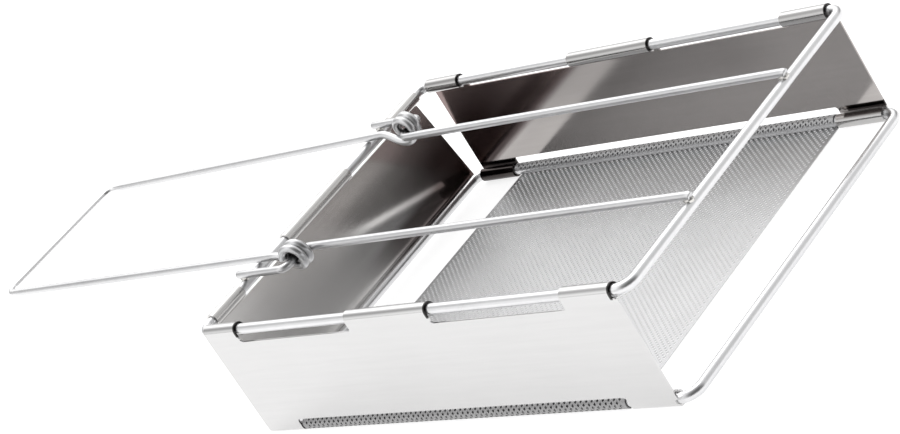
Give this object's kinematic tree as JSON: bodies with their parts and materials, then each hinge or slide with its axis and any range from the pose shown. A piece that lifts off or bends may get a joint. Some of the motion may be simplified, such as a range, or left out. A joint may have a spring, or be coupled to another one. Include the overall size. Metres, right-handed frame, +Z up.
{
  "type": "folding camp toaster rack",
  "caption": "Folding stovetop toaster rack: two wire frames joined by hinged sheet sides, mesh floor, two bread bars and a swinging wire handle.",
  "frame": {"origin": "centre of the lower wire frame, on the rest plane", "axes": "+X along the long side, away from the handle; +Y to the rear long side; +Z up"},
  "size_m": [0.2706, 0.112, 0.041],
  "materials": {
    "wire": "polished",
    "sheet": "satin",
    "mesh": "satin",
    "weld": "satin"
  },
  "bodies": {
    "base": {"bottom_frame": "wire", "mesh_floor": "mesh"},
    "front": {"front_panel": "sheet"},
    "rear": {"rear_panel": "sheet"},
    "deck": {"top_frame": "wire", "support_bar_near": "wire", "support_bar_far": "wire", "tail_welds": "weld", "end_welds": "weld"},
    "end": {"end_panel": "sheet"},
    "grip": {"handle": "wire"}
  },
  "joints": [
    {"name": "fold", "type": "hinge", "parent": "base", "child": "front", "pos_m": [0, -0.054, 0.00196], "axis": [-1, 0, 0], "range_deg": [0, 83]},
    {"name": "deck_hinge", "type": "hinge", "parent": "front", "child": "deck", "pos_m": [0, -0.054, 0.03366], "axis": [-1, 0, 0], "range_deg": [-83, 0]},
    {"name": "rear_hinge", "type": "hinge", "parent": "base", "child": "rear", "pos_m": [0, 0.054, 0.00196], "axis": [-1, 0, 0], "range_deg": [0, 83]},
    {"name": "end_hinge", "type": "hinge", "parent": "deck", "child": "end", "pos_m": [-0.075, 0, 0.03366], "axis": [0, 1, 0], "range_deg": [0, 75]},
    {"name": "handle_swing", "type": "hinge", "parent": "deck", "child": "grip", "pos_m": [-0.0582, 0, 0.03618], "axis": [0, 1, 0], "range_deg": [0, 178]}
  ],
  "couplings": [
    {"joint": "deck_hinge", "follows": "fold", "ratio": -1},
    {"joint": "rear_hinge", "follows": "fold", "ratio": 1}
  ]
}
